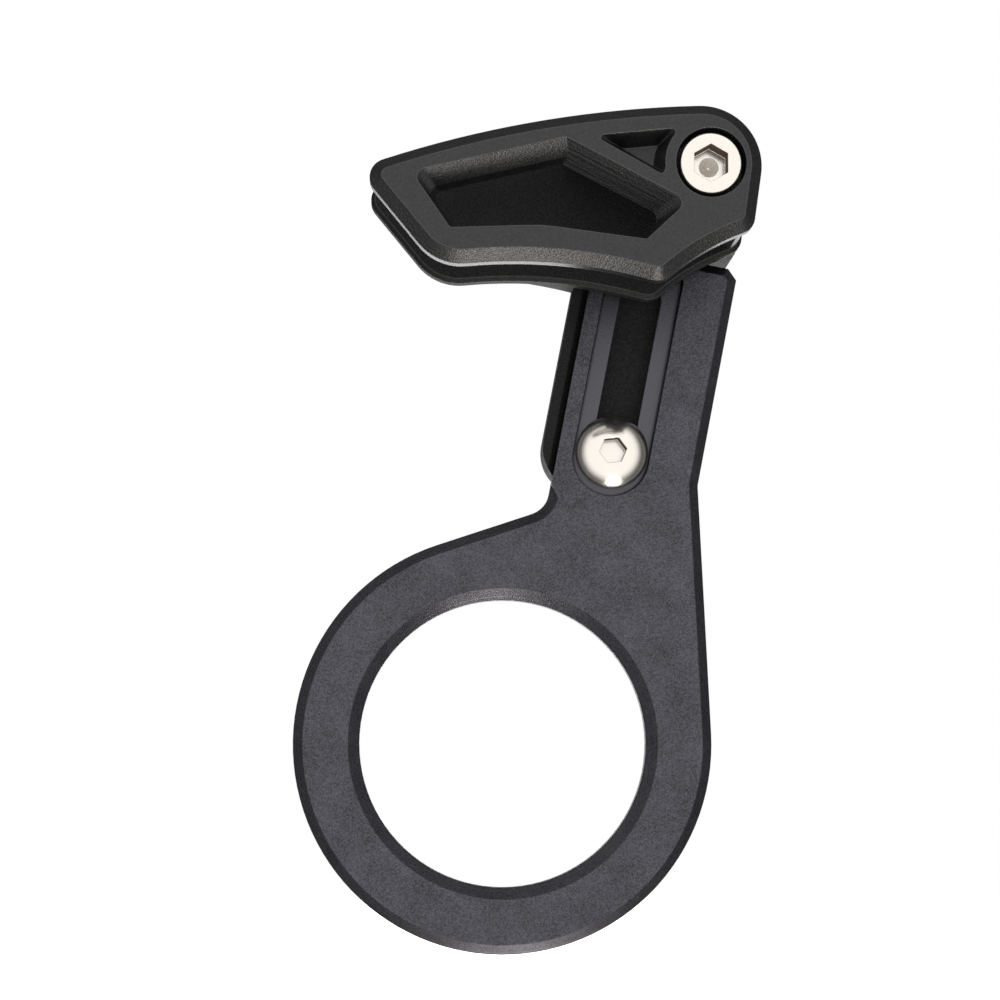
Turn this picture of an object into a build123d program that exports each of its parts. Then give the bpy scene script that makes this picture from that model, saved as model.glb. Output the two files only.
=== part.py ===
from build123d import *
import os
from math import cos, pi, radians, sin

# Bottom-bracket chain guide: an aluminium backplate carries a nylon cage of two plates.
# Frame: +X is forward along the bicycle, +Z is up and -Y is the chainring side.
# The origin is the centre of the bore on the rear seat face. All sizes are millimetres.
# A level is a distance from the seat face towards the chainring side.

# Backplate ring
bore_diameter = 35.4
ring_wall = 8.15
plate_thickness = 3.0
edge_chamfer = 1.25
bore_chamfer = 1.4

# Backplate arm, measured across and along the slot from the clamp bolt
arm_lean = 11.0
slot_offset = 6.4
clamp_gap = 12.2
arm_left = 6.65
arm_right = 11.4
arm_top_wall = 1.4
arm_top_corner = 1.25
arm_relief = 0.4
left_flank = 119.4
right_flank = 13.7
left_fillet = 3.3
shoulder_radius = 2.0
edge_runout = 1.9
square_width = 2.5

# Slot and recess for the clamp bolt
slot_turn = 90.0
travel_up = 19.7
travel_down = 0.75
slot_clearance = 0.15
recess_depth = 1.0
recess_clearance = 0.3
recess_corner = 2.0

# Clamp bolt and nut
hexagon_sides = 6
clamp_thread = 4.9
clamp_head_diameter = 9.0
clamp_head_height = 2.7
clamp_head_rim = 0.7
clamp_dome_radius = 5.2
clamp_socket = 3.0
clamp_socket_turn = 17.5
clamp_socket_depth = 1.7
clamp_dimple_diameter = 3.7
clamp_dimple_depth = 0.2
nut_width = 8.0
nut_thickness = 2.7
nut_edge = 0.35
thread_clearance = 0.05

# Cage stem behind the arm
slide_clearance = 0.06
stem_thickness = 4.4
stem_right = 7.5
stem_end = 5.4
stem_corner = 5.3
lip_width = 1.9
lip_drop = 0.6
lip_bevel = 0.7
stem_edge = 0.6

# Bridge over the end of the arm
bridge_gap = 0.3
bridge_height = 11.05
bridge_right = 10.2
bridge_corner = 3.6
web_drop = 5.5
core_wall = 1.6
flare_length = 5.7
flare_depth = 3.2

# Cage plates and the space for the chain
inner_gap = 3.0
inner_thickness = 2.1
chain_space = 9.0
outer_thickness = 3.0
plate_bevel = 1.4
bevel_taper = 45.0
inner_edge = 0.5
cage_bolt_rise = 6.7
cage_bolt_offset = 4.05

# Cage outline, as distances left or right of the cage bolt and above or below it
tip_left = 41.9
tip_below = 0.8
tip_radius = 2.25
crown_left = 17.2
crown_above = 5.65
ear_right = 7.3
ear_above = 7.2
ear_radius = 7.2
corner_right = 5.15
corner_below = 7.7
corner_radius = 2.0
throat_left = 1.3
throat_below = 10.75
chin_left = 5.75
chin_below = 14.25
chin_radius = 2.4
belly_left = 20.0
belly_below = 11.85
heel_left = 32.3
heel_below = 12.55
heel_radius = 6.5

# Window in the outer plate, as distances from the outline's own places
window_tip_in = 6.4
window_tip_down = 0.6
window_crown_down = 2.75
window_end_left = 2.75
window_end_below = 4.65
window_foot_left = 7.7
window_foot_up = 4.95
window_belly_up = 4.15
window_heel_in = 1.4
window_heel_up = 4.45
window_tip_radius = 1.1
window_crown_radius = 0.15
window_end_radius = 1.15
window_foot_radius = 0.4
window_belly_radius = 20.0
window_heel_radius = 0.5
window_slope_top = 2.45
window_slope_diagonal = 2.4
window_slope_end = 0.9
window_slope_side = 0.8
window_draft = 0.2
window_waist_depth = 1.85
window_waist_top = 1.9

# Spacer block and coring pocket of the outer plate
block_inset = 0.5
block_left = 16.8
block_lift = 0.4
pocket_depth = 3.0
pocket_draft = 21.0
pocket_left = 14.0
pocket_left_above = 3.1
pocket_right_left = 4.1
pocket_right_above = 4.1
pocket_foot_left = 5.7
pocket_foot_below = 1.6
pocket_corner = 0.4
pocket_wall = 1.25
peg_diameter = 2.4
peg_length = 1.8
peg_clearance = 0.15
peg_left = 12.6
peg_above = 3.4

# Cage bolt and insert
cage_thread = 3.9
cage_head_diameter = 7.5
cage_head_height = 4.0
cage_head_edge = 0.45
cage_head_drop = 0.25
cage_socket = 4.0
cage_socket_turn = 30.0
cage_socket_depth = 2.3
drill_diameter = 2.4
drill_depth = 0.65
drill_taper = 59.0
cage_counterbore_clearance = 0.45
cage_hole_clearance = 0.25
insert_diameter = 5.6
insert_length = 6.0
insert_clearance = 0.02
insert_groove_width = 1.2
insert_groove_depth = 0.35
bolt_tip = 0.4

# Levels, from the seat face towards the chainring side
plate_front = plate_thickness
arm_rear = arm_relief
recess_floor = plate_front - recess_depth
stem_front = arm_rear - slide_clearance
stem_rear = stem_front - stem_thickness
lip_front = plate_front - lip_drop
inner_rear = plate_front + inner_gap
inner_front = inner_rear + inner_thickness
outer_rear = inner_front + chain_space
outer_front = outer_rear + outer_thickness

# Places along and across the arm, from the clamp bolt
ring_radius = bore_diameter / 2 + ring_wall
clamp_height = ring_radius + clamp_gap
slot_width = clamp_thread + 2 * slot_clearance
recess_width = clamp_head_diameter + 2 * recess_clearance
recess_top = travel_up + recess_width / 2
arm_top = recess_top + arm_top_wall
lip_inner = -arm_left - slide_clearance
lip_outer = lip_inner - lip_width
bridge_bottom = arm_top + travel_down + bridge_gap
bridge_top = bridge_bottom + bridge_height
web_bottom = bridge_bottom - web_drop
cage_bolt_along = bridge_bottom + cage_bolt_rise

# The arm's plane has its origin at the clamp bolt, x across the slot and y up along it.
lean_cos = cos(radians(arm_lean))
lean_sin = sin(radians(arm_lean))
clamp_x = slot_offset * lean_cos + clamp_height * lean_sin
clamp_z = clamp_height * lean_cos - slot_offset * lean_sin
arm_plane = Plane(origin=(clamp_x, 0, clamp_z), x_dir=(lean_cos, 0, -lean_sin), z_dir=(0, -1, 0))

# The cage's plane has its origin at the cage bolt, with x forward and y up.
cage_x = clamp_x + cage_bolt_offset * lean_cos + cage_bolt_along * lean_sin
cage_z = clamp_z - cage_bolt_offset * lean_sin + cage_bolt_along * lean_cos
cage_plane = Plane(origin=(cage_x, 0, cage_z), x_dir=(1, 0, 0), z_dir=(0, -1, 0))


def flank_meets(across, tangent_angle):
    """Gives the point on a line along the arm where a tangent of the ring meets it."""
    reach = ring_radius - cos(radians(tangent_angle)) * (across + slot_offset)
    return (across, reach / sin(radians(tangent_angle)) - clamp_height)


def ring_point(tangent_angle):
    """Gives the point of the ring's edge at an angle, in the arm's plane."""
    angle = radians(tangent_angle)
    return (ring_radius * cos(angle) - slot_offset, ring_radius * sin(angle) - clamp_height)


def shifted_polygon(points, insets):
    """Moves each side of a polygon inwards by its own amount and gives the new corners."""
    sides = []
    for start, end, inset in zip(points, points[1:] + points[:1], insets):
        along = (Vector(*end) - Vector(*start)).normalized()
        inward = Vector(along.Y, -along.X)
        sides.append((Vector(*start) + inward * inset, along))
    corners = []
    for (base, along), (before, way) in zip(sides, sides[-1:] + sides[:-1]):
        normal = Vector(along.Y, -along.X)
        step = (base - before).dot(normal) / way.dot(normal)
        corner = before + way * step
        corners.append((corner.X, corner.Y))
    return corners


def round_window(sketch, corners):
    """Rounds the window's corners, with a wide bend along its lower edge."""
    for corner, radius in zip(corners, window_radii):
        fillet(sketch.vertices().sort_by_distance(corner)[0], radius)


# Outline that both cage plates share, in the cage's plane
with BuildSketch() as cage_outline:
    with BuildLine():
        ThreePointArc((-tip_left, -tip_below), (-crown_left, crown_above), (ear_right, ear_above))
        Line((ear_right, ear_above), (corner_right, -corner_below))
        ThreePointArc(
            (corner_right, -corner_below), (-throat_left, -throat_below), (-chin_left, -chin_below)
        )
        ThreePointArc((-chin_left, -chin_below), (-belly_left, -belly_below), (-heel_left, -heel_below))
        Line((-heel_left, -heel_below), (-tip_left, -tip_below))
    make_face()
    for place, radius in (
        ((-tip_left, -tip_below), tip_radius),
        ((ear_right, ear_above), ear_radius),
        ((corner_right, -corner_below), corner_radius),
        ((-chin_left, -chin_below), chin_radius),
        ((-heel_left, -heel_below), heel_radius),
    ):
        fillet(cage_outline.vertices().sort_by_distance(place)[0], radius)

# Backplate: ring, flanks and arm from one plate, with the slot and its recess
left_corner = flank_meets(-arm_left, left_flank)
right_corner = flank_meets(arm_right, right_flank)
with BuildSketch() as plate_outline:
    with Locations((-slot_offset, -clamp_height)):
        Circle(ring_radius)
    with BuildLine():
        Polyline(
            ring_point(left_flank),
            left_corner,
            (-arm_left, arm_top),
            (arm_right - arm_top_corner, arm_top),
            (arm_right, arm_top - arm_top_corner),
            right_corner,
            ring_point(right_flank),
            (-slot_offset, -clamp_height),
            close=True,
        )
    make_face()
    fillet(plate_outline.vertices().sort_by_distance(left_corner)[0], left_fillet)
    fillet(plate_outline.vertices().sort_by_distance(right_corner)[0], shoulder_radius)

with BuildPart() as backplate:
    with BuildSketch(arm_plane):
        add(plate_outline.sketch)
    extrude(amount=plate_front - edge_chamfer)
    with BuildSketch(arm_plane.offset(plate_front - edge_chamfer)):
        add(plate_outline.sketch)
    extrude(amount=edge_chamfer, taper=bevel_taper)
    with BuildSketch(Plane.XZ):
        Circle(bore_diameter / 2)
    extrude(amount=plate_front, mode=Mode.SUBTRACT)
    front = backplate.faces().sort_by(Axis.Y)[0]
    chamfer(front.inner_wires()[0].edges(), bore_chamfer)
    # The left edge stays square where the cage's lip slides along it.
    with BuildSketch(arm_plane.offset(arm_rear)):
        with BuildLine():
            Polyline(
                (-arm_left, -stem_end),
                (-arm_left, arm_top),
                (square_width - arm_left, arm_top),
                (square_width - arm_left, -stem_end - edge_runout),
                (edge_chamfer - arm_left, -stem_end - edge_runout),
                close=True,
            )
        make_face()
    extrude(amount=plate_front - arm_rear)
    with BuildSketch(arm_plane.offset(recess_floor)) as recess:
        with Locations((0, -travel_down)):
            Circle(recess_width / 2)
            Rectangle(recess_width, recess_top + travel_down, align=(Align.CENTER, Align.MIN))
        fillet(recess.vertices().group_by(Axis.Y)[-1], recess_corner)
    extrude(amount=recess_depth, mode=Mode.SUBTRACT)
    with BuildSketch(arm_plane):
        with Locations((0, (travel_up - travel_down) / 2)):
            SlotCenterToCenter(travel_up + travel_down, slot_width, rotation=slot_turn)
    extrude(amount=plate_front, mode=Mode.SUBTRACT)
    # Behind the arm and the flanks the plate is relieved, so only the ring meets the frame.
    with BuildSketch(arm_plane):
        add(plate_outline.sketch)
        with Locations((-slot_offset, -clamp_height)):
            Circle(ring_radius, mode=Mode.SUBTRACT)
    extrude(amount=arm_rear, mode=Mode.SUBTRACT)
backplate.part.label = "backplate"

# Outline of the cage's stem, with its lower corners rounded
with BuildSketch() as stem_outline:
    with Locations((lip_outer, -stem_end)):
        Rectangle(stem_right - lip_outer, bridge_top + stem_end, align=Align.MIN)
    fillet(stem_outline.vertices().group_by(Axis.Y)[0], stem_corner)

# Inner cage: stem behind the arm, lip beside it, bridge over its end and the inner plate
with BuildPart() as inner_cage:
    with BuildSketch(cage_plane.offset(inner_rear)):
        add(cage_outline.sketch)
    extrude(amount=inner_thickness)
    chamfer(inner_cage.faces().sort_by(Axis.Y)[0].outer_wire().edges(), inner_edge)
    with BuildSketch(arm_plane.offset(stem_rear + stem_edge)):
        add(stem_outline.sketch)
    extrude(amount=stem_thickness - stem_edge)
    with BuildSketch(arm_plane.offset(stem_rear + stem_edge)):
        add(stem_outline.sketch)
    extrude(amount=-stem_edge, taper=bevel_taper)
    with BuildSketch(arm_plane.offset(stem_front)):
        add(stem_outline.sketch)
        with Locations((lip_outer, -stem_end)):
            Rectangle(lip_width, bridge_top + stem_end, align=Align.MIN, mode=Mode.INTERSECT)
    extrude(amount=lip_front - stem_front)
    lip_place = arm_plane.offset(lip_front).from_local_coords((lip_inner, web_bottom / 2, 0))
    chamfer(inner_cage.edges().sort_by_distance(lip_place)[0], lip_bevel)
    with BuildSketch(arm_plane.offset(stem_rear)) as bridge:
        with Locations((lip_outer, bridge_bottom)):
            Rectangle(bridge_right - lip_outer, bridge_height, align=Align.MIN)
        fillet(bridge.vertices().group_by(Axis.X)[-1].sort_by(Axis.Y)[-1], bridge_corner)
    extrude(amount=inner_rear - stem_rear)
    with BuildSketch(arm_plane.offset(stem_front)):
        with Locations((lip_outer, web_bottom)):
            Rectangle(lip_width, bridge_bottom - web_bottom, align=Align.MIN)
    extrude(amount=inner_rear - stem_front)
    # Gusset from the inner plate to the web, along the plate's lower edge and up to the bridge's top
    with BuildSketch(cage_plane.offset(inner_rear)):
        add(cage_outline.sketch)
        with Locations(Location((clamp_x - cage_x, clamp_z - cage_z, 0), (0, 0, -arm_lean))):
            with Locations((lip_outer - flare_length, 0)):
                Rectangle(flare_length, bridge_top, align=Align.MIN, mode=Mode.INTERSECT)
    extrude(amount=-flare_depth)
    flare_plane = Plane(arm_plane.origin, x_dir=arm_plane.x_dir, z_dir=arm_plane.y_dir)
    with BuildSketch(flare_plane):
        Polygon(
            (lip_outer - flare_length, -inner_rear),
            (lip_outer, flare_depth - inner_rear),
            (lip_outer - flare_length, flare_depth - inner_rear),
            align=None,
        )
    extrude(amount=bridge_top, mode=Mode.SUBTRACT)
    # Coring pockets in the back of the bridge, one each side of a rib
    core_floor = inner_front - insert_length - core_wall
    core_left = lip_outer + core_wall
    core_right = bridge_right - core_wall
    core_bottom = bridge_bottom + core_wall
    core_width = (core_right - core_left - core_wall) / 2
    with BuildSketch(arm_plane.offset(stem_rear)) as cores:
        with Locations((core_left, core_bottom), (core_right - core_width, core_bottom)):
            Rectangle(core_width, bridge_height - 2 * core_wall, align=Align.MIN)
        fillet(cores.vertices(), core_wall)
    extrude(amount=core_floor - stem_rear, mode=Mode.SUBTRACT)
    # Clamp bolt's hole and the nut's pocket
    with BuildSketch(arm_plane.offset(stem_rear)):
        Circle(slot_width / 2)
    extrude(amount=stem_thickness, mode=Mode.SUBTRACT)
    with BuildSketch(arm_plane.offset(stem_rear)):
        RegularPolygon(nut_width / 2 + thread_clearance, hexagon_sides, major_radius=False)
    extrude(amount=nut_thickness, mode=Mode.SUBTRACT)
    # Insert's hole and the peg's hole
    with BuildSketch(cage_plane.offset(inner_front)):
        Circle(insert_diameter / 2 + insert_clearance)
    extrude(amount=-insert_length, mode=Mode.SUBTRACT)
    with BuildSketch(cage_plane.offset(inner_front)):
        with Locations((-peg_left, peg_above)):
            Circle(peg_diameter / 2 + peg_clearance)
    extrude(amount=-peg_length - peg_clearance, mode=Mode.SUBTRACT)
inner_cage.part.label = "inner_cage"

# Outer cage plate: bevelled plate with the window, the pocket and the block round the bolt
window_crown_above = crown_above - window_crown_down
window_front = [
    (window_tip_in - tip_left, -tip_below - window_tip_down),
    (-crown_left, window_crown_above),
    (-window_end_left, -window_end_below),
    (-window_foot_left, window_foot_up - chin_below),
    (-belly_left, window_belly_up - belly_below),
    (window_heel_in - heel_left, window_heel_up - heel_below),
]
window_slopes = [
    window_slope_top,
    window_slope_diagonal,
    window_slope_end,
    window_draft,
    window_draft,
    window_slope_side,
]
window_radii = [
    window_tip_radius,
    window_crown_radius,
    window_end_radius,
    window_foot_radius,
    window_belly_radius,
    window_heel_radius,
]
window_rear = shifted_polygon(window_front, window_slopes)
# Part of the way in, the upper wall turns steeper, and the other walls run on straight.
waist_share = window_waist_depth / outer_thickness
waist_slopes = [window_waist_top] + [slope * waist_share for slope in window_slopes[1:]]
window_waist = shifted_polygon(window_front, waist_slopes)
# The block's lower face carries on the window's falling side.
block_fall = (window_crown_above + window_end_below) / (crown_left - window_end_left)
block_level = window_crown_above + block_lift - block_fall * crown_left
with BuildPart() as outer_cage_plate:
    with BuildSketch(cage_plane.offset(outer_rear)):
        add(cage_outline.sketch)
    extrude(amount=outer_thickness)
    chamfer(outer_cage_plate.faces().sort_by(Axis.Y)[0].outer_wire().edges(), plate_bevel)
    with BuildSketch(cage_plane.offset(outer_front)) as mouth:
        Polygon(*window_front, align=None)
        round_window(mouth, window_front)
    with BuildSketch(cage_plane.offset(outer_front - window_waist_depth)) as waist:
        Polygon(*window_waist, align=None)
        round_window(waist, window_waist)
    with BuildSketch(cage_plane.offset(outer_rear)) as throat:
        Polygon(*window_rear, align=None)
        round_window(throat, window_rear)
    loft(ruled=True, mode=Mode.SUBTRACT)
    with BuildSketch(cage_plane.offset(inner_front)):
        with BuildLine():
            Polyline(
                (-block_left, ear_above + block_inset),
                (-block_left, block_level + block_fall * block_left),
                (ear_right, block_level - block_fall * ear_right),
                (ear_right, ear_above + block_inset),
                close=True,
            )
        make_face()
        add(offset(cage_outline.sketch, -block_inset, mode=Mode.PRIVATE), mode=Mode.INTERSECT)
    extrude(amount=chain_space)
    with BuildSketch(cage_plane.offset(outer_front)) as pocket:
        Polygon(
            (-pocket_left, pocket_left_above),
            (-pocket_right_left, pocket_right_above),
            (-pocket_foot_left, -pocket_foot_below),
            align=None,
        )
        counterbore_radius = cage_head_diameter / 2 + cage_counterbore_clearance
        Circle(counterbore_radius + pocket_wall, mode=Mode.SUBTRACT)
        fillet(pocket.vertices(), pocket_corner)
    extrude(amount=-pocket_depth, taper=pocket_draft, mode=Mode.SUBTRACT)
    with BuildSketch(cage_plane.offset(outer_front)):
        Circle(counterbore_radius)
    extrude(amount=-cage_head_height - cage_head_drop, mode=Mode.SUBTRACT)
    with BuildSketch(cage_plane.offset(inner_front)):
        Circle(cage_thread / 2 + cage_hole_clearance)
    extrude(amount=outer_front - inner_front, mode=Mode.SUBTRACT)
    with BuildSketch(cage_plane.offset(inner_front)):
        with Locations((-peg_left, peg_above)):
            Circle(peg_diameter / 2)
    extrude(amount=-peg_length)
outer_cage_plate.part.label = "outer_cage_plate"

# Clamp bolt: button head in the recess, thread through the slot into the nut
clamp_seat = recess_floor + slide_clearance
clamp_axis = Axis((clamp_x, 0, clamp_z), (0, 1, 0))
clamp_length = clamp_seat - stem_rear - bolt_tip
with BuildPart() as clamp_bolt:
    with BuildSketch(Plane(origin=(clamp_x, -clamp_seat, clamp_z), x_dir=(1, 0, 0), z_dir=(0, 0, 1))):
        with BuildLine():
            dome_start = (clamp_dimple_diameter / 2, -clamp_head_height)
            dome_end = (clamp_head_diameter / 2, -clamp_head_rim)
            Line((0, clamp_dimple_depth - clamp_head_height), dome_start)
            RadiusArc(dome_start, dome_end, -clamp_dome_radius)
            Polyline(
                dome_end,
                (clamp_head_diameter / 2, 0),
                (clamp_thread / 2, 0),
                (clamp_thread / 2, clamp_length - bolt_tip),
                (clamp_thread / 2 - bolt_tip, clamp_length),
                (0, clamp_length),
                (0, clamp_dimple_depth - clamp_head_height),
            )
        make_face()
    revolve(axis=clamp_axis)
    with BuildSketch(arm_plane.offset(clamp_seat + clamp_head_height)):
        RegularPolygon(clamp_socket / 2, hexagon_sides, major_radius=False, rotation=clamp_socket_turn)
    extrude(amount=-clamp_dimple_depth - clamp_socket_depth, mode=Mode.SUBTRACT)
clamp_bolt.part.label = "clamp_bolt"

# Clamp nut: thin hexagon nut with turned corners, held in the stem
nut_corner = nut_width / 2 / cos(pi / hexagon_sides)
with BuildPart() as clamp_nut:
    with BuildSketch(arm_plane.offset(stem_rear)):
        RegularPolygon(nut_width / 2, hexagon_sides, major_radius=False)
        Circle(clamp_thread / 2 + thread_clearance, mode=Mode.SUBTRACT)
    extrude(amount=nut_thickness)
    with BuildSketch(Plane(origin=(clamp_x, -stem_rear, clamp_z), x_dir=(1, 0, 0), z_dir=(0, 0, 1))):
        with BuildLine():
            Polyline(
                (0, 0),
                (nut_width / 2, 0),
                (nut_corner, -nut_edge),
                (nut_corner, -nut_thickness),
                (0, -nut_thickness),
                close=True,
            )
        make_face()
    revolve(axis=clamp_axis, mode=Mode.INTERSECT)
clamp_nut.part.label = "clamp_nut"

# Cage bolt: cylindrical head in the outer plate's counterbore
cage_seat = outer_front - cage_head_drop - cage_head_height
cage_axis = Axis((cage_x, 0, cage_z), (0, 1, 0))
cage_length = cage_seat - inner_front + insert_length - bolt_tip
with BuildPart() as cage_bolt:
    with BuildSketch(Plane(origin=(cage_x, -cage_seat, cage_z), x_dir=(1, 0, 0), z_dir=(0, 0, 1))):
        with BuildLine():
            Polyline(
                (0, -cage_head_height),
                (cage_head_diameter / 2, -cage_head_height),
                (cage_head_diameter / 2, 0),
                (cage_thread / 2, 0),
                (cage_thread / 2, cage_length - bolt_tip),
                (cage_thread / 2 - bolt_tip, cage_length),
                (0, cage_length),
                close=True,
            )
        make_face()
    revolve(axis=cage_axis)
    fillet(cage_bolt.edges().filter_by(GeomType.CIRCLE).sort_by(Axis.Y)[0], cage_head_edge)
    with BuildSketch(cage_plane.offset(cage_seat + cage_head_height)):
        RegularPolygon(cage_socket / 2, hexagon_sides, major_radius=False, rotation=cage_socket_turn)
    extrude(amount=-cage_socket_depth, mode=Mode.SUBTRACT)
    with BuildSketch(cage_plane.offset(cage_seat + cage_head_height - cage_socket_depth)):
        Circle(drill_diameter / 2)
    extrude(amount=-drill_depth, taper=drill_taper, mode=Mode.SUBTRACT)
cage_bolt.part.label = "cage_bolt"

# Cage insert: threaded brass sleeve with a retaining groove, in the inner cage
with BuildPart() as cage_insert:
    with BuildSketch(Plane(origin=(cage_x, -inner_front, cage_z), x_dir=(1, 0, 0), z_dir=(0, 0, 1))):
        with BuildLine():
            Polyline(
                (cage_thread / 2 + thread_clearance, 0),
                (insert_diameter / 2, 0),
                (insert_diameter / 2, (insert_length - insert_groove_width) / 2),
                (insert_diameter / 2 - insert_groove_depth, (insert_length - insert_groove_width) / 2),
                (insert_diameter / 2 - insert_groove_depth, (insert_length + insert_groove_width) / 2),
                (insert_diameter / 2, (insert_length + insert_groove_width) / 2),
                (insert_diameter / 2, insert_length),
                (cage_thread / 2 + thread_clearance, insert_length),
                close=True,
            )
        make_face()
    revolve(axis=cage_axis)
cage_insert.part.label = "cage_insert"

os.makedirs("parts", exist_ok=True)
for piece in (backplate, inner_cage, outer_cage_plate, clamp_bolt, clamp_nut, cage_bolt, cage_insert):
    export_step(piece.part, f"parts/{piece.part.label}.step")
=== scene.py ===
"""Finishes and studio for a bottom-bracket chain guide, laid out as a Blender add-on."""

from math import cos, pi, radians, tan

import bpy
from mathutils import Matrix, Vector


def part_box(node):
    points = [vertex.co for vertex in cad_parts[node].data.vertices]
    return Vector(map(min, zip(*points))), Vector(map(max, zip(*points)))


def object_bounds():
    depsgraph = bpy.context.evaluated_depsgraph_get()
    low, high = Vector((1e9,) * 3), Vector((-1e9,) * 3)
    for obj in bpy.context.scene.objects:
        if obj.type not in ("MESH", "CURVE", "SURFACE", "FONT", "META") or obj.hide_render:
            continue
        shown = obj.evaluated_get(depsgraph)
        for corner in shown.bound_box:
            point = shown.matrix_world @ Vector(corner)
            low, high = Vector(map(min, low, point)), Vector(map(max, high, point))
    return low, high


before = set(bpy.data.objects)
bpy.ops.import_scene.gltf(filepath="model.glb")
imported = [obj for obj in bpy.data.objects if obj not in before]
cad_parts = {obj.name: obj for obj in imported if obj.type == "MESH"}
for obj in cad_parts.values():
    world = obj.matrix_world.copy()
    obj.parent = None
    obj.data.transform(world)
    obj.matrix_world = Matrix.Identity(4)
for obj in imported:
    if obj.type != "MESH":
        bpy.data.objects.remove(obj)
cad_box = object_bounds()

bl_info = {
    "name": "Bicycle chain guide",
    "version": (1, 0, 0),
    "blender": (4, 5, 0),
    "location": "View3D > Sidebar > Chain guide",
    "description": "Finishes, fasteners and studio for a bottom-bracket chain guide",
    "category": "Add Mesh",
}

MM = 0.001

# Roughness of each finish
BLASTED_ROUGHNESS = 0.45
MILLED_ROUGHNESS = 0.36
SATIN_NYLON_ROUGHNESS = 0.36
DULL_NYLON_ROUGHNESS = 0.6
GLOSSY_EDGE_ROUGHNESS = 0.25
POLISHED_ROUGHNESS = 0.22
SOCKET_ROUGHNESS = 0.7
BRASS_ROUGHNESS = 0.3
FLOOR_ROUGHNESS = 0.8

NYLON_IOR = 1.53
DULL_NYLON_SPECULAR = 0.15
# Brightness of stained brass as a share of clean brass
BRASS_STAIN = 0.8
# How much of the cloudy patches goes into the blasted mottle
CLOUD_SHARE = 0.35

# Depths of the marks that each way of working leaves
DIMPLE_DEPTH = 0.05 * MM
PEBBLE_DEPTH = 0.07 * MM
CUTTER_LINE_DEPTH = 0.1 * MM
TURNING_DEPTH = 0.004 * MM
# Polishing leaves this share of the turning rings
TURNING_SHARE = 0.15

# How many rays look for an outer edge, and for an inner corner
EDGE_RAYS = 6
CORNER_RAYS = 8
# How open a place is where the painted corner shade is whole, and where it ends
FULL_CORNER_SHADE = 0.56
NO_CORNER_SHADE = 0.76
# How like the face's own direction an edge's rounding is where the painted edge highlight and the
# glossier edge start, and where they are whole
EDGE_HIGHLIGHT_STARTS = 0.99
EDGE_HIGHLIGHT_WHOLE = 0.93

# Walls of the window: the way each faces, and the least and the whole likeness that pick it out
FALLING_WALL = ((-0.36, -0.62, -0.69), 0.96, 0.99)
UPPER_WALL = ((0.18, -0.6, -0.78), 0.92, 0.97)
# Slope of the cutter lines on the falling wall, and how many spacings long a line is
LINE_SLOPE = radians(27.6)
LINE_LENGTH = 30
# A socket's walls turn to the front or rear by less than this, and its floor by more than the next
SOCKET_WALL_TURN = 0.3
SOCKET_FLOOR_TURN = 0.95
# Room on either side of a face that is picked out by its place
PLACE_ROOM = 0.05 * MM

# Soft boxes round the guide: the way to each, the angles of its even middle and faded rim, its
# brightness and its colour
SOFT_BOXES = (
    ((0.0, -1.0, 0.05), 64, 89, 1.07, "#ffffff"),
    ((0.12, -0.08, -0.98), 4, 15, 16.0, "#fff8f1"),
    ((0.0, 0.97, -0.24), 14, 34, 2.8, "#ffffff"),
    ((0.0, -0.2, 0.98), 20, 60, 0.1, "#ffffff"),
)
SURROUND_LEVEL = 0.05
# The panel that lights the floor: its place, its two sides and its brightness
WASH_PLACE = (0, 90 * MM, 300 * MM)
WASH_SIZE = (300 * MM, 400 * MM)
WASH_LEVEL = 12.0
FLOOR_SIDES = 96
# Share of the floor's radius at which it starts to fade
FADE_START = 0.4
# The nearest and farthest that the camera sees
CLIP_NEAR = 10 * MM
CLIP_FAR = 10.0


def linear(hex_colour):
    """Turns an sRGB hex value into linear red, green, blue and alpha."""
    channels = [int(hex_colour[start:start + 2], 16) / 255 for start in (1, 3, 5)]
    return [c / 12.92 if c <= 0.04045 else ((c + 0.055) / 1.055) ** 2.4 for c in channels] + [1.0]


def add_node(tree, kind, settings=None, inputs=None, links=None):
    """Adds a node with its settings and input values, and links its inputs to other outputs."""
    node = tree.nodes.new(kind)
    for name, value in (settings or {}).items():
        setattr(node, name, value)
    for name, value in (inputs or {}).items():
        node.inputs[name].default_value = value
    for name, (source, output) in (links or {}).items():
        tree.links.new(source.outputs[output], node.inputs[name])
    return node


def set_ramp(ramp, stops):
    """Gives a colour ramp its stops, each a place and a colour."""
    elements = ramp.color_ramp.elements
    while len(elements) < len(stops):
        elements.new(1.0)
    for element, (place, colour) in zip(elements, stops):
        element.position = place
        element.color = colour


def new_material(name, shader_inputs):
    """Makes a material, and gives it with its tree, its shader and its object coordinates."""
    material = bpy.data.materials.new(name)
    material.use_nodes = True
    tree = material.node_tree
    tree.nodes.clear()
    shader = add_node(tree, "ShaderNodeBsdfPrincipled", inputs=shader_inputs)
    add_node(tree, "ShaderNodeOutputMaterial", links={"Surface": (shader, "BSDF")})
    place = add_node(tree, "ShaderNodeTexCoord")
    return material, tree, shader, place


def dress(node_name, material):
    """Puts a material on a CAD node through its object's slots."""
    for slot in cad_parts[node_name].material_slots:
        slot.material = material


def middle(node_name):
    """Gives the middle of a CAD node's box."""
    low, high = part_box(node_name)
    return (low + high) / 2


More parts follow.
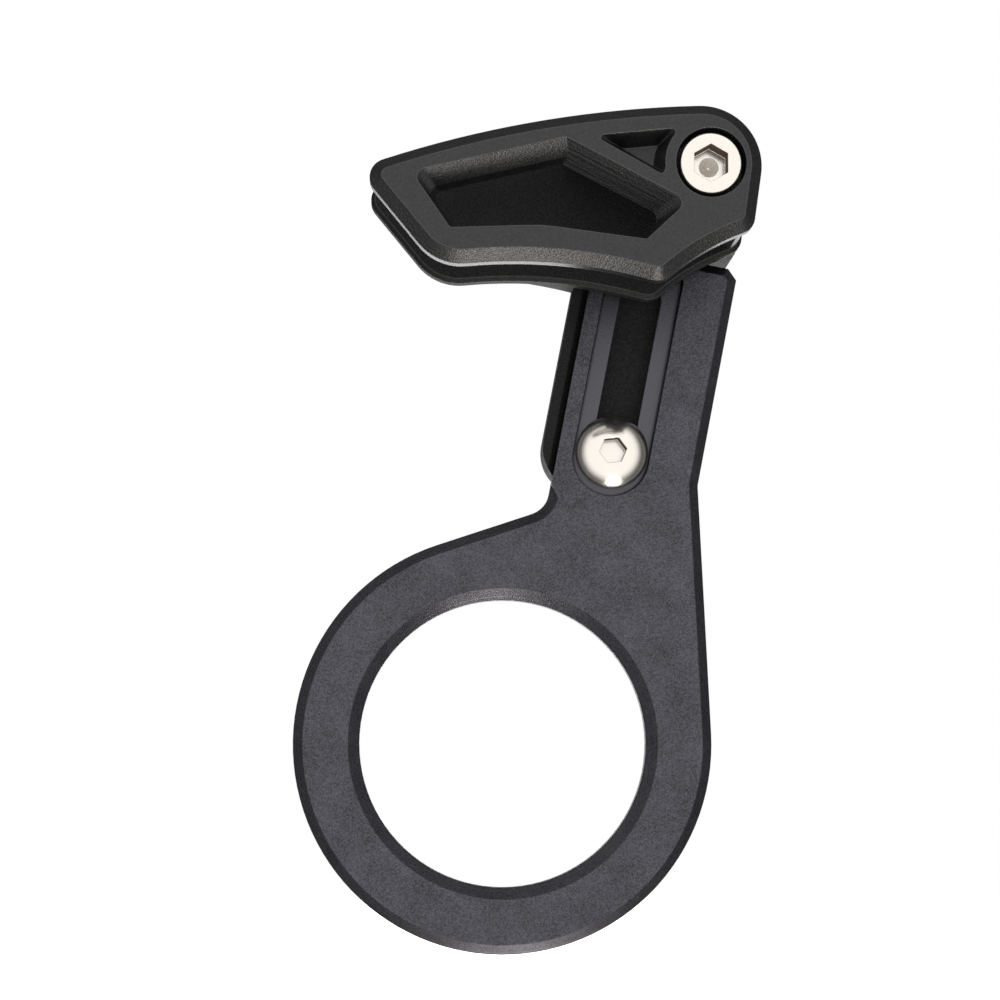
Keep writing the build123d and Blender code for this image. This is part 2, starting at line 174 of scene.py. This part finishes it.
class ChainGuideFinish(bpy.types.PropertyGroup):
    """Colours and grain sizes of the guide's materials."""

    anodise_dark: bpy.props.FloatVectorProperty(
        name="Anodise, dark",
        description="Darker colour of the blasted anodised plate",
        subtype="COLOR",
        size=4,
        default=linear("#353539"),
    )
    anodise_light: bpy.props.FloatVectorProperty(
        name="Anodise, light",
        description="Lighter colour of the blasted anodised plate",
        subtype="COLOR",
        size=4,
        default=linear("#605f65"),
    )
    # Real dimples are finer, and are drawn as coarse as they need to show
    blast_grit: bpy.props.FloatProperty(
        name="Blast grit",
        description="Width of the dimples that the blasting beads leave",
        unit="LENGTH",
        default=0.17 * MM,
    )
    blast_cloud: bpy.props.FloatProperty(
        name="Blast cloud",
        description="Width of the cloudy patches in the anodised colour",
        unit="LENGTH",
        default=4.0 * MM,
    )
    milled: bpy.props.FloatVectorProperty(
        name="Milled recess",
        description="Colour of the milled floor of the bolt's recess under the anodising",
        subtype="COLOR",
        size=4,
        default=linear("#57575c"),
    )
    # Painted shade: the colour that darkens the plate's inner corners
    corner: bpy.props.FloatVectorProperty(
        name="Corner",
        description="Colour of the painted shade in the inner corners",
        subtype="COLOR",
        size=4,
        default=linear("#0c0c0d"),
    )
    corner_width: bpy.props.FloatProperty(
        name="Corner width",
        description="How far from an inner corner the painted shade reaches",
        unit="LENGTH",
        default=0.8 * MM,
    )
    recess_level: bpy.props.FloatProperty(
        name="Recess level",
        description="How far the recess's floor lies before the plate's seat face",
        unit="LENGTH",
        default=2.0 * MM,
    )
    nylon_dark: bpy.props.FloatVectorProperty(
        name="Nylon, dark",
        description="Darker colour of the moulded nylon",
        subtype="COLOR",
        size=4,
        default=linear("#060606"),
    )
    nylon_light: bpy.props.FloatVectorProperty(
        name="Nylon, light",
        description="Lighter colour of the moulded nylon",
        subtype="COLOR",
        size=4,
        default=linear("#242424"),
    )
    # Painted highlight: the paler colour laid along the cage plates' edges
    nylon_edge_highlight: bpy.props.FloatVectorProperty(
        name="Nylon, edge highlight",
        description="Painted highlight colour of the moulded nylon along its edges",
        subtype="COLOR",
        size=4,
        default=linear("#4c4c4c"),
    )
    plate_level: bpy.props.FloatProperty(
        name="Plate level",
        description="How far before the plate's seat face the cage's edge-highlighted plates start",
        unit="LENGTH",
        default=5.95 * MM,
    )
    # Real grain is finer, and is drawn as coarse as it needs to show
    nylon_grain: bpy.props.FloatProperty(
        name="Nylon grain",
        description="Width of the grain that the spark-eroded mould leaves",
        unit="LENGTH",
        default=0.22 * MM,
    )
    mould_line: bpy.props.FloatProperty(
        name="Mould line",
        description="Spacing of the mould's cutter lines on the window's falling wall",
        unit="LENGTH",
        default=0.45 * MM,
    )
    wall_roll: bpy.props.FloatProperty(
        name="Wall roll",
        description="Radius with which the window's upper wall rolls in towards its throat",
        unit="LENGTH",
        default=4.5 * MM,
    )
    steel: bpy.props.FloatVectorProperty(
        name="Steel",
        description="Colour of the polished stainless bolts",
        subtype="COLOR",
        size=4,
        default=linear("#f1ebe2"),
    )
    # Painted shade: the colour that darkens the walls of the bolts' sockets
    socket_shade: bpy.props.FloatVectorProperty(
        name="Socket shade",
        description="Colour of the painted shade on the walls of the bolts' sockets",
        subtype="COLOR",
        size=4,
        default=linear("#5a4434"),
    )
    clamp_socket: bpy.props.FloatProperty(
        name="Clamp socket",
        description="Width across the flats of the clamp bolt's hexagon socket",
        unit="LENGTH",
        default=3.0 * MM,
    )
    cage_socket: bpy.props.FloatProperty(
        name="Cage socket",
        description="Width across the flats of the cage bolt's hexagon socket",
        unit="LENGTH",
        default=4.0 * MM,
    )
    # Real rings lie closer, and are drawn as coarse as they need to show
    turning_pitch: bpy.props.FloatProperty(
        name="Turning pitch",
        description="Spacing of the rings that the lathe leaves on the bolt heads",
        unit="LENGTH",
        default=0.22 * MM,
    )
    brass: bpy.props.FloatVectorProperty(
        name="Brass",
        description="Colour of the turned brass insert",
        subtype="COLOR",
        size=4,
        default=linear("#d9b263"),
    )
    edge_break: bpy.props.FloatProperty(
        name="Edge break",
        description="Radius of the small rounding that blasted and polished edges have",
        unit="LENGTH",
        default=0.16 * MM,
    )
    mould_edge: bpy.props.FloatProperty(
        name="Mould edge",
        description="Radius of the rounding that moulded edges have",
        unit="LENGTH",
        default=0.2 * MM,
    )


class ChainGuideStudio(bpy.types.PropertyGroup):
    """Camera and floor of the studio."""

    camera_place: bpy.props.FloatVectorProperty(
        name="Camera place",
        description="Place of the camera from the centre of the bore",
        subtype="TRANSLATION",
        unit="LENGTH",
        default=(-11.55 * MM, -280.25 * MM, -1.82 * MM),
    )
    camera_pitch: bpy.props.FloatProperty(
        name="Camera pitch",
        description="How far the camera looks up",
        subtype="ANGLE",
        default=radians(4.77),
    )
    camera_yaw: bpy.props.FloatProperty(
        name="Camera yaw",
        description="How far the camera looks to the right",
        subtype="ANGLE",
        default=radians(2.302),
    )
    camera_view: bpy.props.FloatProperty(
        name="Field of view",
        description="Angle that the square frame takes in",
        subtype="ANGLE",
        default=radians(25.03),
    )
    camera_shift: bpy.props.FloatProperty(
        name="Camera shift",
        description="Upward shift of the lens as a share of the frame",
        default=0.07,
    )
    floor_colour: bpy.props.FloatVectorProperty(
        name="Floor",
        description="Colour of the pale floor",
        subtype="COLOR",
        size=4,
        default=linear("#f2f2f0"),
    )
    floor_gap: bpy.props.FloatProperty(
        name="Floor gap",
        description="How far the floor lies below the ring",
        unit="LENGTH",
        default=6 * MM,
    )
    floor_radius: bpy.props.FloatProperty(
        name="Floor radius",
        description="Radius of the round floor",
        unit="LENGTH",
        default=260 * MM,
    )


def blasted_anodised_aluminium(finish):
    """Machined aluminium, bead-blasted and anodised: a satin grey, mottled by fine dimples.

    The milled floor of the bolt's recess is smoother, and inner corners get a painted dark shade.
    """
    material, tree, shader, place = new_material("blasted_anodised_aluminium", {"Metallic": 1.0})
    grit = add_node(
        tree,
        "ShaderNodeTexNoise",
        inputs={"Scale": 1 / finish.blast_grit, "Detail": 2.0, "Roughness": 0.6},
        links={"Vector": (place, "Object")},
    )
    cloud = add_node(
        tree,
        "ShaderNodeTexNoise",
        inputs={"Scale": 1 / finish.blast_cloud, "Detail": 4.0, "Roughness": 0.65},
        links={"Vector": (place, "Object")},
    )
    mottle = add_node(
        tree,
        "ShaderNodeMath",
        settings={"operation": "MULTIPLY_ADD"},
        inputs={1: CLOUD_SHARE},
        links={0: (cloud, "Fac"), 2: (grit, "Fac")},
    )
    tone = add_node(tree, "ShaderNodeValToRGB", links={"Fac": (mottle, "Value")})
    set_ramp(tone, [(0.45, finish.anodise_dark), (0.88, finish.anodise_light)])
    parts = add_node(tree, "ShaderNodeSeparateXYZ", links={"Vector": (place, "Object")})
    recess = add_node(
        tree,
        "ShaderNodeMath",
        settings={"operation": "COMPARE"},
        inputs={1: -finish.recess_level, 2: PLACE_ROOM},
        links={0: (parts, "Y")},
    )
    colour = add_node(
        tree,
        "ShaderNodeMix",
        settings={"data_type": "RGBA"},
        inputs={"B": finish.milled},
        links={"Factor": (recess, "Value"), "A": (tone, "Color")},
    )
    openness = add_node(
        tree,
        "ShaderNodeAmbientOcclusion",
        settings={"samples": CORNER_RAYS, "only_local": True},
        inputs={"Distance": finish.corner_width},
    )
    unshaded = add_node(
        tree,
        "ShaderNodeMapRange",
        inputs={"From Min": FULL_CORNER_SHADE, "From Max": NO_CORNER_SHADE},
        links={"Value": (openness, "AO")},
    )
    # Inner corners are darkened by painted shade, found by how open they are
    corner_shaded = add_node(
        tree,
        "ShaderNodeMix",
        settings={"data_type": "RGBA"},
        inputs={"A": finish.corner},
        links={"Factor": (unshaded, "Result"), "B": (colour, "Result")},
    )
    tree.links.new(corner_shaded.outputs["Result"], shader.inputs["Base Color"])
    gloss = add_node(
        tree,
        "ShaderNodeMapRange",
        inputs={"To Min": BLASTED_ROUGHNESS, "To Max": MILLED_ROUGHNESS},
        links={"Value": (recess, "Value")},
    )
    tree.links.new(gloss.outputs["Result"], shader.inputs["Roughness"])
    edge = add_node(
        tree,
        "ShaderNodeBevel",
        settings={"samples": EDGE_RAYS},
        inputs={"Radius": finish.edge_break},
    )
    dimples = add_node(
        tree,
        "ShaderNodeBump",
        inputs={"Strength": 1.0, "Distance": DIMPLE_DEPTH},
        links={"Height": (grit, "Fac"), "Normal": (edge, "Normal")},
    )
    tree.links.new(dimples.outputs["Normal"], shader.inputs["Normal"])
    return material


def nylon_base(name, finish, roughness):
    """Starts a glass-filled nylon: near black, with a pebbled grain and a painted highlight along
    its edges.

    Only the two plates beside the chain get the painted edge highlight; they lie furthest before the
    seat face.
    It gives the material, and by name the nodes that a nylon of its own kind builds on.
    """
    material, tree, shader, place = new_material(name, {"Roughness": roughness, "IOR": NYLON_IOR})
    grain = add_node(
        tree,
        "ShaderNodeTexNoise",
        inputs={"Scale": 1 / finish.nylon_grain, "Detail": 2.5, "Roughness": 0.55},
        links={"Vector": (place, "Object")},
    )
    tone = add_node(tree, "ShaderNodeValToRGB", links={"Fac": (grain, "Fac")})
    set_ramp(tone, [(0.3, finish.nylon_dark), (0.7, finish.nylon_light)])
    edge = add_node(
        tree,
        "ShaderNodeBevel",
        settings={"samples": EDGE_RAYS},
        inputs={"Radius": finish.mould_edge},
    )
    surface = add_node(tree, "ShaderNodeNewGeometry")
    turn = add_node(
        tree,
        "ShaderNodeVectorMath",
        settings={"operation": "DOT_PRODUCT"},
        links={0: (edge, "Normal"), 1: (surface, "True Normal")},
    )
    edged = add_node(
        tree,
        "ShaderNodeMapRange",
        inputs={"From Min": EDGE_HIGHLIGHT_STARTS, "From Max": EDGE_HIGHLIGHT_WHOLE},
        links={"Value": (turn, "Value")},
    )
    parts = add_node(tree, "ShaderNodeSeparateXYZ", links={"Vector": (place, "Object")})
    plates = add_node(
        tree,
        "ShaderNodeMath",
        settings={"operation": "LESS_THAN"},
        inputs={1: -finish.plate_level},
        links={0: (parts, "Y")},
    )
    highlit_edges = add_node(
        tree,
        "ShaderNodeMath",
        settings={"operation": "MULTIPLY"},
        links={0: (edged, "Result"), 1: (plates, "Value")},
    )
    # The paler edge colour is a painted highlight
    colour = add_node(
        tree,
        "ShaderNodeMix",
        settings={"data_type": "RGBA"},
        inputs={"B": finish.nylon_edge_highlight},
        links={"Factor": (highlit_edges, "Value"), "A": (tone, "Color")},
    )
    tree.links.new(colour.outputs["Result"], shader.inputs["Base Color"])
    pebble = add_node(
        tree,
        "ShaderNodeBump",
        inputs={"Strength": 1.0, "Distance": PEBBLE_DEPTH},
        links={"Height": (grain, "Fac"), "Normal": (edge, "Normal")},
    )
    tree.links.new(pebble.outputs["Normal"], shader.inputs["Normal"])
    nodes = {
        "shader": shader,
        "place": place,
        "parts": parts,
        "surface": surface,
        "highlit_edges": highlit_edges,
        "pebble": pebble,
    }
    return material, nodes


def wall_mask(tree, surface, wall):
    """Picks out a wall by the way it faces."""
    facing, least, whole = wall
    likeness = add_node(
        tree,
        "ShaderNodeVectorMath",
        settings={"operation": "DOT_PRODUCT"},
        inputs={1: Vector(facing).normalized()},
        links={0: (surface, "True Normal")},
    )
    return add_node(
        tree,
        "ShaderNodeMapRange",
        inputs={"From Min": least, "From Max": whole},
        links={"Value": (likeness, "Value")},
    )


def spark_eroded_nylon(finish):
    """Glass-filled nylon from a spark-eroded mould: satin black, pebbled, with cutter lines.

    The lines run along the window's falling wall, and its upper wall rolls in towards the throat.
    Both walls are picked out by the way they face.
    """
    material, nodes = nylon_base("spark_eroded_nylon", finish, SATIN_NYLON_ROUGHNESS)
    tree = material.node_tree
    lined = add_node(
        tree,
        "ShaderNodeMapping",
        settings={"vector_type": "TEXTURE"},
        inputs={
            "Rotation": (0.0, LINE_SLOPE, 0.0),
            "Scale": (LINE_LENGTH * finish.mould_line, finish.mould_line, finish.mould_line),
        },
        links={"Vector": (nodes["place"], "Object")},
    )
    lines = add_node(
        tree,
        "ShaderNodeTexNoise",
        inputs={"Scale": 1.0, "Detail": 2.0},
        links={"Vector": (lined, "Vector")},
    )
    falling_wall = wall_mask(tree, nodes["surface"], FALLING_WALL)
    ridges = add_node(
        tree,
        "ShaderNodeBump",
        inputs={"Distance": CUTTER_LINE_DEPTH},
        links={
            "Strength": (falling_wall, "Result"),
            "Height": (lines, "Fac"),
            "Normal": (nodes["pebble"], "Normal"),
        },
    )
    # The wall sinks by the square of its depth over twice the radius, as an arc does
    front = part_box("outer_cage_plate")[0].y
    depth = add_node(
        tree,
        "ShaderNodeMath",
        settings={"operation": "SUBTRACT"},
        inputs={1: front},
        links={0: (nodes["parts"], "Y")},
    )
    square = add_node(
        tree,
        "ShaderNodeMath",
        settings={"operation": "MULTIPLY"},
        links={0: (depth, "Value"), 1: (depth, "Value")},
    )
    sink = add_node(
        tree,
        "ShaderNodeMath",
        settings={"operation": "DIVIDE"},
        inputs={1: 2 * finish.wall_roll},
        links={0: (square, "Value")},
    )
    upper_wall = wall_mask(tree, nodes["surface"], UPPER_WALL)
    above = add_node(
        tree,
        "ShaderNodeMath",
        settings={"operation": "GREATER_THAN"},
        inputs={1: middle("outer_cage_plate").z},
        links={0: (nodes["parts"], "Z")},
    )
    window_wall = add_node(
        tree,
        "ShaderNodeMath",
        settings={"operation": "MULTIPLY"},
        links={0: (upper_wall, "Result"), 1: (above, "Value")},
    )
    roll = add_node(
        tree,
        "ShaderNodeBump",
        settings={"invert": True},
        inputs={"Distance": 1.0},
        links={
            "Strength": (window_wall, "Value"),
            "Height": (sink, "Value"),
            "Normal": (ridges, "Normal"),
        },
    )
    tree.links.new(roll.outputs["Normal"], nodes["shader"].inputs["Normal"])
    return material


def dull_moulded_nylon(finish):
    """Glass-filled nylon from a bead-blasted mould: a dull black whose edges are glossier and carry
    a painted highlight.
    """
    material, nodes = nylon_base("dull_moulded_nylon", finish, DULL_NYLON_ROUGHNESS)
    tree = material.node_tree
    shader = nodes["shader"]
    shader.inputs["Specular IOR Level"].default_value = DULL_NYLON_SPECULAR
    gloss = add_node(
        tree,
        "ShaderNodeMapRange",
        inputs={"To Min": DULL_NYLON_ROUGHNESS, "To Max": GLOSSY_EDGE_ROUGHNESS},
        links={"Value": (nodes["highlit_edges"], "Value")},
    )
    tree.links.new(gloss.outputs["Result"], shader.inputs["Roughness"])
    return material


def polished_stainless(node_name, finish, socket=None):
    """Turned and polished stainless steel: warm white, with faint rings about the axis.

    A hexagon socket of the given width gets a painted dark shade on its walls.
    """
    material, tree, shader, place = new_material(
        f"polished_stainless_{node_name}",
        {"Base Color": finish.steel, "Metallic": 1.0, "Roughness": POLISHED_ROUGHNESS},
    )
    centred = add_node(
        tree,
        "ShaderNodeVectorMath",
        settings={"operation": "SUBTRACT"},
        inputs={1: middle(node_name)},
        links={0: (place, "Object")},
    )
    flat = add_node(
        tree,
        "ShaderNodeVectorMath",
        settings={"operation": "MULTIPLY"},
        inputs={1: (1.0, 0.0, 1.0)},
        links={0: (centred, "Vector")},
    )
    reach = add_node(
        tree,
        "ShaderNodeVectorMath",
        settings={"operation": "LENGTH"},
        links={0: (flat, "Vector")},
    )
    turns = add_node(
        tree,
        "ShaderNodeMath",
        settings={"operation": "MULTIPLY"},
        inputs={1: 2 * pi / finish.turning_pitch},
        links={0: (reach, "Value")},
    )
    rings = add_node(
        tree,
        "ShaderNodeMath",
        settings={"operation": "SINE"},
        links={0: (turns, "Value")},
    )
    edge = add_node(
        tree,
        "ShaderNodeBevel",
        settings={"samples": EDGE_RAYS},
        inputs={"Radius": finish.edge_break},
    )
    marks = add_node(
        tree,
        "ShaderNodeBump",
        inputs={"Strength": TURNING_SHARE, "Distance": TURNING_DEPTH},
        links={"Height": (rings, "Value"), "Normal": (edge, "Normal")},
    )
    tree.links.new(marks.outputs["Normal"], shader.inputs["Normal"])
    if socket:
        shade_socket(tree, shader, finish, reach, socket)
    return material


def shade_socket(tree, shader, finish, reach, socket):
    """Paints shade into a bolt's hexagon socket.

    Its walls get a dark brown painted shade, drawn as no metal, and all but its flat floor is rough.
    """
    surface = add_node(tree, "ShaderNodeNewGeometry")
    facing = add_node(tree, "ShaderNodeSeparateXYZ", links={"Vector": (surface, "True Normal")})
    inside = add_node(
        tree,
        "ShaderNodeMath",
        settings={"operation": "LESS_THAN"},
        inputs={1: socket / 2 / cos(pi / 6) + PLACE_ROOM},
        links={0: (reach, "Value")},
    )
    wall = add_node(
        tree,
        "ShaderNodeMath",
        settings={"operation": "COMPARE"},
        inputs={1: 0.0, 2: SOCKET_WALL_TURN},
        links={0: (facing, "Y")},
    )
    shaded_walls = add_node(
        tree,
        "ShaderNodeMath",
        settings={"operation": "MULTIPLY"},
        links={0: (wall, "Value"), 1: (inside, "Value")},
    )
    # The socket walls get a painted dark brown shade
    colour = add_node(
        tree,
        "ShaderNodeMix",
        settings={"data_type": "RGBA"},
        inputs={"A": finish.steel, "B": finish.socket_shade},
        links={"Factor": (shaded_walls, "Value")},
    )
    tree.links.new(colour.outputs["Result"], shader.inputs["Base Color"])
    metal = add_node(
        tree,
        "ShaderNodeMath",
        settings={"operation": "SUBTRACT"},
        inputs={0: 1.0},
        links={1: (shaded_walls, "Value")},
    )
    tree.links.new(metal.outputs["Value"], shader.inputs["Metallic"])
    slanted = add_node(
        tree,
        "ShaderNodeMath",
        settings={"operation": "GREATER_THAN"},
        inputs={1: -SOCKET_FLOOR_TURN},
        links={0: (facing, "Y")},
    )
    unpolished = add_node(
        tree,
        "ShaderNodeMath",
        settings={"operation": "MULTIPLY"},
        links={0: (slanted, "Value"), 1: (inside, "Value")},
    )
    gloss = add_node(
        tree,
        "ShaderNodeMapRange",
        inputs={"To Min": POLISHED_ROUGHNESS, "To Max": SOCKET_ROUGHNESS},
        links={"Value": (unpolished, "Value")},
    )
    tree.links.new(gloss.outputs["Result"], shader.inputs["Roughness"])


def turned_brass(finish):
    """Turned brass: a warm yellow metal, a little dulled by handling."""
    material, tree, shader, place = new_material(
        "turned_brass", {"Metallic": 1.0, "Roughness": BRASS_ROUGHNESS}
    )
    stain = add_node(
        tree,
        "ShaderNodeTexNoise",
        inputs={"Scale": 1 / finish.blast_cloud, "Detail": 3.0},
        links={"Vector": (place, "Object")},
    )
    tone = add_node(tree, "ShaderNodeValToRGB", links={"Fac": (stain, "Fac")})
    dulled = [channel * BRASS_STAIN for channel in finish.brass[:3]] + [1.0]
    set_ramp(tone, [(0.35, dulled), (0.65, finish.brass)])
    tree.links.new(tone.outputs["Color"], shader.inputs["Base Color"])
    return material


class CHAINGUIDE_OT_backplate(bpy.types.Operator):
    """Finish the aluminium backplate"""

    bl_idname = "chainguide.backplate"
    bl_label = "Backplate"

    def execute(self, context):
        dress("backplate", blasted_anodised_aluminium(context.scene.chain_guide_finish))
        return {"FINISHED"}


class CHAINGUIDE_OT_cage(bpy.types.Operator):
    """Finish the two nylon mouldings of the cage"""

    bl_idname = "chainguide.cage"
    bl_label = "Cage"

    def execute(self, context):
        finish = context.scene.chain_guide_finish
        dress("outer_cage_plate", spark_eroded_nylon(finish))
        dress("inner_cage", dull_moulded_nylon(finish))
        return {"FINISHED"}


class CHAINGUIDE_OT_fasteners(bpy.types.Operator):
    """Finish the bolts, the nut and the threaded insert"""

    bl_idname = "chainguide.fasteners"
    bl_label = "Fasteners"

    def execute(self, context):
        finish = context.scene.chain_guide_finish
        dress("clamp_bolt", polished_stainless("clamp_bolt", finish, finish.clamp_socket))
        dress("cage_bolt", polished_stainless("cage_bolt", finish, finish.cage_socket))
        dress("clamp_nut", polished_stainless("clamp_nut", finish))
        dress("cage_insert", turned_brass(finish))
        return {"FINISHED"}


def matt_white_floor(studio):
    """Matt white studio floor, which fades into the light at its edge."""
    material, tree, shader, place = new_material(
        "matt_white_floor", {"Base Color": studio.floor_colour, "Roughness": FLOOR_ROUGHNESS}
    )
    reach = add_node(
        tree,
        "ShaderNodeVectorMath",
        settings={"operation": "LENGTH"},
        links={0: (place, "Object")},
    )
    fade = add_node(
        tree,
        "ShaderNodeMapRange",
        settings={"interpolation_type": "SMOOTHSTEP"},
        inputs={
            "From Min": FADE_START * studio.floor_radius,
            "From Max": studio.floor_radius,
            "To Min": 1.0,
            "To Max": 0.0,
        },
        links={"Value": (reach, "Value")},
    )
    tree.links.new(fade.outputs["Result"], shader.inputs["Alpha"])
    return material


def add_floor(studio):
    """Adds the round floor just under the ring."""
    low, _high = cad_box
    bpy.ops.mesh.primitive_circle_add(
        vertices=FLOOR_SIDES, radius=studio.floor_radius, fill_type="NGON"
    )
    floor = bpy.context.active_object
    floor.name = "studio_floor"
    floor.location = (0, 0, low.z - studio.floor_gap)
    floor.data.materials.append(matt_white_floor(studio))
    for ray in ("glossy", "diffuse", "transmission", "shadow"):
        setattr(floor, f"visible_{ray}", False)
    return floor


def add_floor_wash(floor):
    """Adds the panel that lights the floor from straight above, and nothing else."""
    data = bpy.data.lights.new("floor_wash", "AREA")
    data.shape = "RECTANGLE"
    data.size, data.size_y = WASH_SIZE
    data.energy = WASH_LEVEL * pi * data.size * data.size_y
    wash = bpy.data.objects.new("floor_wash", data)
    bpy.context.scene.collection.objects.link(wash)
    wash.location = WASH_PLACE
    wash.visible_camera = False
    lit = bpy.data.collections.new("floor_wash_lights")
    lit.objects.link(floor)
    wash.light_linking.receiver_collection = lit


def add_surround():
    """Makes the studio's surround: soft boxes before, below, behind and above the guide.

    The camera itself sees plain white there.
    """
    world = bpy.data.worlds.new("studio_surround")
    world.use_nodes = True
    bpy.context.scene.world = world
    tree = world.node_tree
    tree.nodes.clear()
    place = add_node(tree, "ShaderNodeTexCoord")
    light = None
    for way, core, rim, level, tint in SOFT_BOXES:
        turn = add_node(
            tree,
            "ShaderNodeVectorMath",
            settings={"operation": "DOT_PRODUCT"},
            inputs={1: Vector(way).normalized()},
            links={0: (place, "Generated")},
        )
        box = add_node(
            tree,
            "ShaderNodeMapRange",
            settings={"interpolation_type": "SMOOTHSTEP"},
            inputs={"From Min": cos(radians(rim)), "From Max": cos(radians(core)), "To Max": level},
            links={"Value": (turn, "Value")},
        )
        glow = add_node(
            tree,
            "ShaderNodeVectorMath",
            settings={"operation": "MULTIPLY_ADD"},
            inputs={1: linear(tint)[:3], 2: [SURROUND_LEVEL] * 3},
            links={0: (box, "Result")},
        )
        if light:
            tree.links.new(light.outputs["Vector"], glow.inputs[2])
        light = glow
    surround = add_node(tree, "ShaderNodeBackground", links={"Color": (light, "Vector")})
    white = add_node(tree, "ShaderNodeBackground", inputs={"Color": (1.0, 1.0, 1.0, 1.0)})
    path = add_node(tree, "ShaderNodeLightPath")
    seen = add_node(
        tree,
        "ShaderNodeMixShader",
        links={
            "Fac": (path, "Is Camera Ray"),
            1: (surround, "Background"),
            2: (white, "Background"),
        },
    )
    add_node(tree, "ShaderNodeOutputWorld", links={"Surface": (seen, "Shader")})


def add_camera(studio):
    """Adds the camera at the photograph's viewing angle."""
    data = bpy.data.cameras.new("camera")
    data.sensor_fit = "HORIZONTAL"
    data.lens = data.sensor_width / 2 / tan(studio.camera_view / 2)
    data.shift_y = studio.camera_shift
    data.clip_start = CLIP_NEAR
    data.clip_end = CLIP_FAR
    camera = bpy.data.objects.new("camera", data)
    bpy.context.scene.collection.objects.link(camera)
    camera.location = studio.camera_place
    camera.rotation_euler = (pi / 2 + studio.camera_pitch, 0, -studio.camera_yaw)
    bpy.context.scene.camera = camera


class CHAINGUIDE_OT_studio(bpy.types.Operator):
    """Set up the floor, the lights and the camera"""

    bl_idname = "chainguide.studio"
    bl_label = "Studio"

    def execute(self, context):
        studio = context.scene.chain_guide_studio
        context.scene.view_settings.view_transform = "Standard"
        floor = add_floor(studio)
        add_floor_wash(floor)
        add_surround()
        add_camera(studio)
        return {"FINISHED"}


class CHAINGUIDE_PT_panel(bpy.types.Panel):
    """Sidebar panel with the guide's pieces and finishes"""

    bl_idname = "CHAINGUIDE_PT_panel"
    bl_label = "Chain guide"
    bl_space_type = "VIEW_3D"
    bl_region_type = "UI"
    bl_category = "Chain guide"

    def draw(self, context):
        layout = self.layout
        for operator in OPERATORS:
            layout.operator(operator.bl_idname)
        for group in (context.scene.chain_guide_finish, context.scene.chain_guide_studio):
            for name in group.bl_rna.properties.keys():
                if name not in ("rna_type", "name"):
                    layout.prop(group, name)


OPERATORS = (
    CHAINGUIDE_OT_backplate,
    CHAINGUIDE_OT_cage,
    CHAINGUIDE_OT_fasteners,
    CHAINGUIDE_OT_studio,
)
CLASSES = (ChainGuideFinish, ChainGuideStudio, *OPERATORS, CHAINGUIDE_PT_panel)


def register():
    """Registers the classes and the two groups of settings."""
    for cls in CLASSES:
        bpy.utils.register_class(cls)
    bpy.types.Scene.chain_guide_finish = bpy.props.PointerProperty(type=ChainGuideFinish)
    bpy.types.Scene.chain_guide_studio = bpy.props.PointerProperty(type=ChainGuideStudio)


def unregister():
    """Takes the classes and the settings out again."""
    del bpy.types.Scene.chain_guide_studio
    del bpy.types.Scene.chain_guide_finish
    for cls in reversed(CLASSES):
        bpy.utils.unregister_class(cls)


def main():
    """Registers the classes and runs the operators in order."""
    register()
    bpy.ops.chainguide.backplate()
    bpy.ops.chainguide.cage()
    bpy.ops.chainguide.fasteners()
    bpy.ops.chainguide.studio()
    bpy.context.view_layer.update()


if __name__ == "__main__":
    main()
